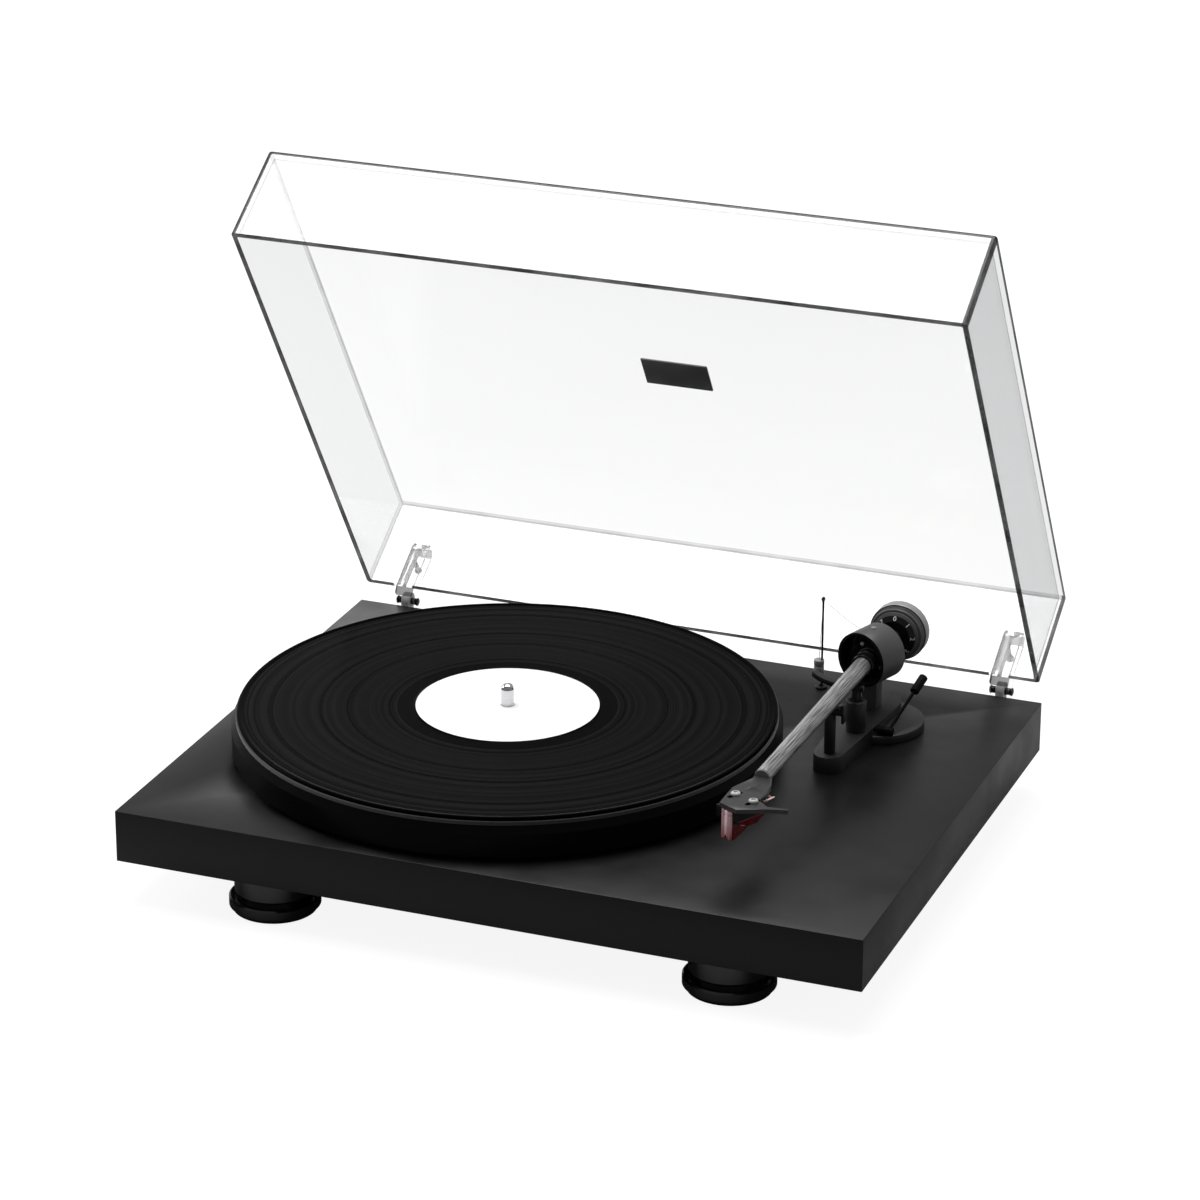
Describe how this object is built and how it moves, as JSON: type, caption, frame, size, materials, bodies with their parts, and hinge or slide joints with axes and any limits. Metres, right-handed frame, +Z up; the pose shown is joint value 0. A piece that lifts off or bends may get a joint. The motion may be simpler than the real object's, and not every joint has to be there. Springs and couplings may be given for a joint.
{
  "type": "record player",
  "caption": "Belt-driven record player: flat black plinth on round feet, platter with record, straight counterweighted tonearm, clear hinged dust cover held open.",
  "frame": {"origin": "middle of the bounding box in plan, at the height of the feet's undersides", "axes": "+X towards the tonearm side, +Y to the back where the cover is hinged, +Z up along the spindle"},
  "size_m": [0.415, 0.3734, 0.3596],
  "materials": {
    "plinth_lacquer": "black lacquered fibreboard, satin",
    "bearing_brass": "turned",
    "ball_steel": "polished",
    "motor_can": "drawn steel can",
    "damper_rubber": "moulded",
    "painted_plate": "black powder coat",
    "circuit_board": "glass-fibre board with parts",
    "black_plastic": "moulded, fine texture",
    "panel_metal": "satin",
    "socket_gold": "gold-plated",
    "bracket_steel": "pressed",
    "screw_black": "blackened steel",
    "screw_bright": "bright plated",
    "belt_rubber": "flat ground belt",
    "base_paint": "black anodised, satin",
    "gimbal_paint": "black anodised, satin",
    "thread_nylon": "fine nylon thread",
    "wire_steel": "blackened wire",
    "spindle_chrome": "polished",
    "sub_platter_plastic": "moulded",
    "platter_black": "black satin, turned rim",
    "felt": "black felt",
    "vinyl": "pressed vinyl",
    "label_paper": "plain white paper",
    "pulley_alu": "turned",
    "arm_carbon": "woven carbon fibre under clear lacquer",
    "head_plate": "satin black",
    "cartridge_black": "moulded",
    "stylus_red": "translucent red",
    "cantilever_alu": "drawn tube",
    "weight_steel": "dark satin plated",
    "dial_plastic": "moulded",
    "knob_rubber": "soft sleeve",
    "cover_acrylic": "clear moulded",
    "block_clear": "clear moulded",
    "foot_black": "black anodised, turned, with a soft pad"
  },
  "bodies": {
    "chassis": {"plinth": "plinth_lacquer", "bearing_housing": "bearing_brass", "thrust_ball": "ball_steel", "motor_body": "motor_can", "motor_mount": "damper_rubber", "motor_plate": "painted_plate", "control_board": "circuit_board", "bottom_cover": "black_plastic", "connector_panel": "panel_metal", "phono_sockets": "socket_gold", "ground_terminal": "socket_gold", "power_inlet": "black_plastic", "hinge_brackets": "bracket_steel", "bracket_screws": "screw_black", "foot_inserts": "bearing_brass", "switch_housing": "black_plastic", "drive_belt": "belt_rubber", "arm_base_disc": "base_paint", "arm_base": "base_paint", "gimbal_ring": "gimbal_paint", "gimbal_screws": "screw_bright", "rest_post": "black_plastic", "rest_clip": "black_plastic", "lift_housing": "base_paint", "thread_wire": "wire_steel", "thread": "thread_nylon"},
    "platter_group": {"spindle": "spindle_chrome", "sub_platter": "sub_platter_plastic", "platter": "platter_black", "damping_ring": "damper_rubber", "mat": "felt", "record": "vinyl", "record_label": "label_paper"},
    "motor_rotor": {"motor_shaft": "ball_steel", "motor_pulley": "pulley_alu"},
    "power_switch": {"switch_rocker": "black_plastic"},
    "arm_yoke": {"inner_gimbal": "gimbal_paint", "pitch_screws": "screw_bright"},
    "tonearm": {"arm_collar": "gimbal_paint", "arm_tube": "arm_carbon", "headshell": "head_plate", "cartridge_body": "cartridge_black", "stylus_unit": "stylus_red", "cantilever": "cantilever_alu", "cartridge_screws": "screw_bright", "tail_shaft": "base_paint"},
    "counterweight_body": {"counterweight": "weight_steel"},
    "scale_dial": {"scale_ring": "dial_plastic"},
    "skating_weight_body": {"skating_weight": "weight_steel"},
    "cue_lever_body": {"cue_lever": "wire_steel", "cue_knob": "knob_rubber"},
    "cue_lift_body": {"cue_lift": "black_plastic"},
    "cover_body": {"dust_cover": "cover_acrylic", "cover_badge": "panel_metal", "hinge_blocks": "block_clear", "hinge_pins": "screw_black"},
    "foot_left_body": {"foot_left": "foot_black"},
    "foot_right_body": {"foot_right": "foot_black"},
    "foot_rear_body": {"foot_rear": "foot_black"}
  },
  "joints": [
    {"name": "platter_spin", "type": "hinge", "parent": "chassis", "child": "platter_group", "pos_m": [-0.0475, -0.03023, 0.06], "axis": [0, 0, -1], "continuous": true},
    {"name": "motor_spin", "type": "hinge", "parent": "chassis", "child": "motor_rotor", "pos_m": [-0.1415, -0.09623, 0.06], "axis": [0, 0, -1], "continuous": true},
    {"name": "switch_rock", "type": "hinge", "parent": "chassis", "child": "power_switch", "pos_m": [-0.17, -0.16473, 0.028], "axis": [0, 1, 0], "range_deg": [-12, 12]},
    {"name": "tonearm_swing", "type": "hinge", "parent": "chassis", "child": "arm_yoke", "pos_m": [0.127, 0.07287, 0.0935], "axis": [0, 0, -1], "range_deg": [0, 46]},
    {"name": "tonearm_pitch", "type": "hinge", "parent": "arm_yoke", "child": "tonearm", "pos_m": [0.127, 0.07287, 0.0935], "axis": [-1, 0, 0], "range_deg": [-0.4, 12]},
    {"name": "counterweight_slide", "type": "slide", "parent": "tonearm", "child": "counterweight_body", "axis": [0, 0.9998, -0.0183], "range_m": [-0.008, 0.001]},
    {"name": "scale_turn", "type": "hinge", "parent": "counterweight_body", "child": "scale_dial", "pos_m": [0.127, 0.11279, 0.08897], "axis": [0, 0.9998, -0.0183], "continuous": true},
    {"name": "skating_weight_slide", "type": "slide", "parent": "chassis", "child": "skating_weight_body", "axis": [0, 0, 1], "range_m": [0, 0.0175], "deforming": ["thread"]},
    {"name": "cue_lever_turn", "type": "hinge", "parent": "chassis", "child": "cue_lever_body", "pos_m": [0.145, 0.04727, 0.0606], "axis": [1, 0, 0], "range_deg": [0, 75]},
    {"name": "cue_lift_slide", "type": "slide", "parent": "chassis", "child": "cue_lift_body", "axis": [0, 0, 1], "range_m": [-0.005, 0]},
    {"name": "cover_hinge", "type": "hinge", "parent": "chassis", "child": "cover_body", "pos_m": [0, 0.14207, 0.0528], "axis": [-1, 0, 0], "range_deg": [-57.25, 3]},
    {"name": "foot_left_screw", "type": "slide", "parent": "chassis", "child": "foot_left_body", "axis": [0, 0, -1], "range_m": [0, 0.008]},
    {"name": "foot_right_screw", "type": "slide", "parent": "chassis", "child": "foot_right_body", "axis": [0, 0, -1], "range_m": [0, 0.008]},
    {"name": "foot_rear_screw", "type": "slide", "parent": "chassis", "child": "foot_rear_body", "axis": [0, 0, -1], "range_m": [0, 0.008]}
  ],
  "couplings": [
    {"joint": "motor_spin", "follows": "platter_spin", "ratio": 10},
    {"joint": "skating_weight_slide", "follows": "tonearm_swing", "m_per_rad": 0.0212},
    {"joint": "cue_lift_slide", "follows": "cue_lever_turn", "m_per_rad": -0.0038}
  ]
}
